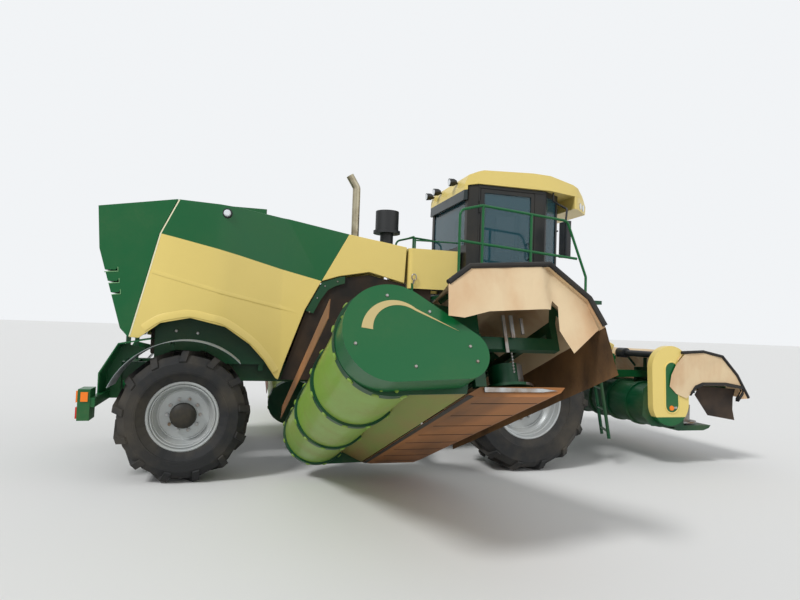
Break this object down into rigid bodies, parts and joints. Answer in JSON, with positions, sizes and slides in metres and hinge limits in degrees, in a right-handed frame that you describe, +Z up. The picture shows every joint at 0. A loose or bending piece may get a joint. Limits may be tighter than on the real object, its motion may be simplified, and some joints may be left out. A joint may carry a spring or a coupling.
{
  "type": "self-propelled mower conditioner",
  "caption": "Self-propelled mower conditioner: a steered vehicle with cab and engine hood, one front mower and folding side mowers with ribbed conditioner housings.",
  "frame": {"origin": "on the ground, at the middle of the whole machine's length and width as it is parked", "axes": "+X forward, +Y to the machine's left, +Z up"},
  "size_m": [8.5, 9.7376, 3.96],
  "materials": {
    "green_paint": "satin",
    "light_green_paint": "satin",
    "cream_paint": "satin",
    "silver_paint": "satin",
    "dark_paint": "satin",
    "engine_iron": "rough",
    "worn_steel": "worn",
    "rod_chrome": "polished",
    "pipe_steel": "satin",
    "tyre_rubber": "matte",
    "window_glass": "clear",
    "canvas": "matte",
    "dark_plastic": "matte",
    "lamp_lens": "glossy"
  },
  "bodies": {
    "chassis": {"main_frame": "green_paint", "engine": "engine_iron", "hood_sides": "cream_paint", "hood_top": "green_paint", "hood_tail": "green_paint", "liners": "dark_paint", "side_tanks": "cream_paint", "exhaust": "pipe_steel", "air_cleaner": "dark_plastic", "front_axle": "green_paint", "rear_axle": "green_paint", "cab_shell": "dark_paint", "cab_glass": "window_glass", "cab_roof": "cream_paint", "cab_interior": "dark_plastic", "platform": "green_paint", "railings": "green_paint", "mirrors": "dark_plastic", "rear_bumper": "green_paint", "lamps": "lamp_lens"},
    "door": {"door": "dark_paint", "door_glass": "window_glass"},
    "front_lift": {"front_lift": "green_paint"},
    "front_mower": {"front_mower_frame": "green_paint", "front_mower_hood": "green_paint", "front_cutterbar": "worn_steel", "belt_guard": "green_paint", "drive_shaft": "dark_plastic", "front_canvas": "canvas"},
    "front_drum": {"front_drum": "worn_steel"},
    "knuckle_left": {"knuckle_left": "green_paint", "fender_left": "silver_paint"},
    "front_wheel_left": {"front_tyre_left": "tyre_rubber", "front_rim_left": "silver_paint"},
    "rear_wheel_left": {"rear_tyre_left": "tyre_rubber", "rear_rim_left": "silver_paint"},
    "mower_left": {"mower_hood_left": "light_green_paint", "mower_frame_left": "green_paint", "mower_cutterbar_left": "worn_steel", "mower_end_cover_left": "green_paint", "mower_canvas_left": "canvas"},
    "drum_left": {"mower_drum_left": "worn_steel"},
    "lift_barrel_left": {"lift_barrel_left": "green_paint"},
    "lift_rod_left": {"lift_rod_left": "rod_chrome"},
    "knuckle_right": {"knuckle_right": "green_paint", "fender_right": "silver_paint"},
    "front_wheel_right": {"front_tyre_right": "tyre_rubber", "front_rim_right": "silver_paint"},
    "rear_wheel_right": {"rear_tyre_right": "tyre_rubber", "rear_rim_right": "silver_paint"},
    "mower_right": {"mower_hood_right": "light_green_paint", "mower_frame_right": "green_paint", "mower_cutterbar_right": "worn_steel", "mower_end_cover_right": "green_paint", "mower_canvas_right": "canvas"},
    "drum_right": {"mower_drum_right": "worn_steel"},
    "lift_barrel_right": {"lift_barrel_right": "green_paint"},
    "lift_rod_right": {"lift_rod_right": "rod_chrome"}
  },
  "joints": [
    {"name": "front_wheel_spin_left", "type": "hinge", "parent": "chassis", "child": "front_wheel_left", "pos_m": [0.965, 1.145, 0.855], "axis": [0, 1, 0], "continuous": true},
    {"name": "front_wheel_spin_right", "type": "hinge", "parent": "chassis", "child": "front_wheel_right", "pos_m": [0.965, -1.145, 0.855], "axis": [0, 1, 0], "continuous": true},
    {"name": "steer_left", "type": "hinge", "parent": "chassis", "child": "knuckle_left", "pos_m": [-3.175, 0.9, 0.71], "axis": [0, 0, 1], "range_deg": [-32, 32]},
    {"name": "rear_wheel_spin_left", "type": "hinge", "parent": "knuckle_left", "child": "rear_wheel_left", "pos_m": [-3.175, 1.2, 0.71], "axis": [0, 1, 0], "continuous": true},
    {"name": "steer_right", "type": "hinge", "parent": "chassis", "child": "knuckle_right", "pos_m": [-3.175, -0.9, 0.71], "axis": [0, 0, 1], "range_deg": [-32, 32]},
    {"name": "rear_wheel_spin_right", "type": "hinge", "parent": "knuckle_right", "child": "rear_wheel_right", "pos_m": [-3.175, -1.2, 0.71], "axis": [0, 1, 0], "continuous": true},
    {"name": "fold_left", "type": "hinge", "parent": "chassis", "child": "mower_left", "pos_m": [-1.06, 1.02, 0.5], "axis": [1, 0, 0], "range_deg": [-20, 70]},
    {"name": "drum_spin_left", "type": "hinge", "parent": "mower_left", "child": "drum_left", "pos_m": [-0.78, 4.3565, 1.2887], "axis": [0, -0.342, 0.9397], "continuous": true},
    {"name": "cylinder_swing_left", "type": "hinge", "parent": "chassis", "child": "lift_barrel_left", "pos_m": [-1.145, 0.25, 1.6], "axis": [1, 0, 0], "range_deg": [-11, 3.5]},
    {"name": "rod_slide_left", "type": "slide", "parent": "lift_barrel_left", "child": "lift_rod_left", "axis": [0, 0.8439, -0.5365], "range_m": [-0.505, 0.147]},
    {"name": "fold_right", "type": "hinge", "parent": "chassis", "child": "mower_right", "pos_m": [-1.06, -1.02, 0.5], "axis": [-1, 0, 0], "range_deg": [-20, 70]},
    {"name": "drum_spin_right", "type": "hinge", "parent": "mower_right", "child": "drum_right", "pos_m": [-0.78, -4.3565, 1.2887], "axis": [0, 0.342, 0.9397], "continuous": true},
    {"name": "cylinder_swing_right", "type": "hinge", "parent": "chassis", "child": "lift_barrel_right", "pos_m": [-1.145, -0.25, 1.6], "axis": [-1, 0, 0], "range_deg": [-11, 3.5]},
    {"name": "rod_slide_right", "type": "slide", "parent": "lift_barrel_right", "child": "lift_rod_right", "axis": [0, -0.8439, -0.5365], "range_m": [-0.505, 0.147]},
    {"name": "front_lift_swing", "type": "hinge", "parent": "chassis", "child": "front_lift", "pos_m": [2.05, 0, 1.35], "axis": [0, 1, 0], "range_deg": [0, 22]},
    {"name": "front_level_swing", "type": "hinge", "parent": "front_lift", "child": "front_mower", "pos_m": [3.3, 0, 1.2], "axis": [0, 1, 0], "range_deg": [-22, 0]},
    {"name": "front_drum_spin", "type": "hinge", "parent": "front_mower", "child": "front_drum", "pos_m": [3.4, -1.29, 0.56], "axis": [0, 0, 1], "continuous": true},
    {"name": "door_swing", "type": "hinge", "parent": "chassis", "child": "door", "pos_m": [0.46, -0.868, 2.99], "axis": [0, 0, -1], "range_deg": [0, 42]}
  ],
  "couplings": [
    {"joint": "steer_right", "follows": "steer_left", "ratio": 1},
    {"joint": "cylinder_swing_left", "follows": "fold_left", "ratio": -0.15},
    {"joint": "rod_slide_left", "follows": "fold_left", "m_per_rad": -0.41},
    {"joint": "cylinder_swing_right", "follows": "fold_right", "ratio": -0.15},
    {"joint": "rod_slide_right", "follows": "fold_right", "m_per_rad": -0.41},
    {"joint": "front_level_swing", "follows": "front_lift_swing", "ratio": -1}
  ]
}
